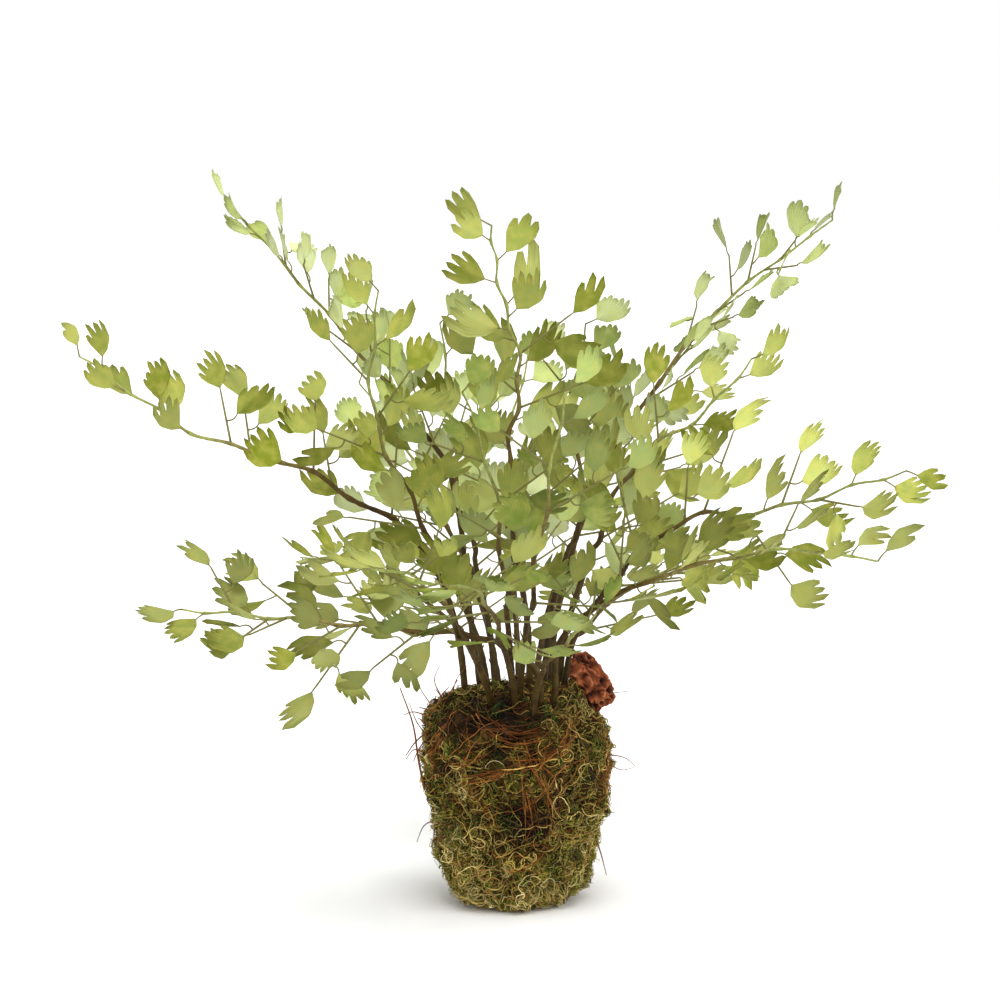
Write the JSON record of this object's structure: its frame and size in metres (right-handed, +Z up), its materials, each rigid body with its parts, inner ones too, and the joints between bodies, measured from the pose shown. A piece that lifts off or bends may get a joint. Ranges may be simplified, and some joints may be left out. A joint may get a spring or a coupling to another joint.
{
  "type": "maidenhair fern with a moss-covered root ball",
  "caption": "Maidenhair fern with arching fronds of small lobed leaflets, growing from a moss-covered root ball with a flat base.",
  "frame": {"origin": "centre of the root ball's flat base", "axes": "+Z up along the root ball; -Y towards the plant's front; +X to the right seen from the front"},
  "size_m": [0.3348, 0.3275, 0.2925],
  "materials": {
    "moss": "matte",
    "bark": "matte",
    "stalk": "satin",
    "leaf_olive": "satin",
    "leaf_fresh": "satin",
    "leaf_pale": "satin"
  },
  "bodies": {
    "root": {"root_ball": "moss", "bark_chip": "bark", "stalk_crown": "stalk", "frond_crown": "leaf_olive", "stalk_left_long": "stalk", "frond_left_long": "leaf_olive", "stalk_right_long": "stalk", "frond_right_long": "leaf_olive", "stalk_left_upright": "stalk", "frond_left_upright": "leaf_olive", "stalk_upper_right": "stalk", "frond_upper_right": "leaf_pale", "stalk_upper_left": "stalk", "frond_upper_left": "leaf_pale", "stalk_left_low": "stalk", "frond_left_low": "leaf_olive", "stalk_right_low": "stalk", "frond_right_low": "leaf_olive", "stalk_right_upper": "stalk", "frond_right_upper": "leaf_olive", "stalk_centre": "stalk", "frond_centre": "leaf_fresh", "stalk_front_right": "stalk", "frond_front_right": "leaf_fresh", "stalk_left_back": "stalk", "frond_left_back": "leaf_pale", "stalk_right_pale": "stalk", "frond_right_pale": "leaf_pale", "stalk_front_low": "stalk", "frond_front_low": "leaf_fresh", "stalk_right_small": "stalk", "frond_right_small": "leaf_fresh", "stalk_front_left": "stalk", "frond_front_left": "leaf_olive", "stalk_back_left": "stalk", "frond_back_left": "leaf_pale", "stalk_back_mid": "stalk", "frond_back_mid": "leaf_pale", "stalk_back_right": "stalk", "frond_back_right": "leaf_olive", "stalk_back_low_left": "stalk", "frond_back_low_left": "leaf_olive", "stalk_back_low_right": "stalk", "frond_back_low_right": "leaf_olive"}
  },
  "joints": []
}
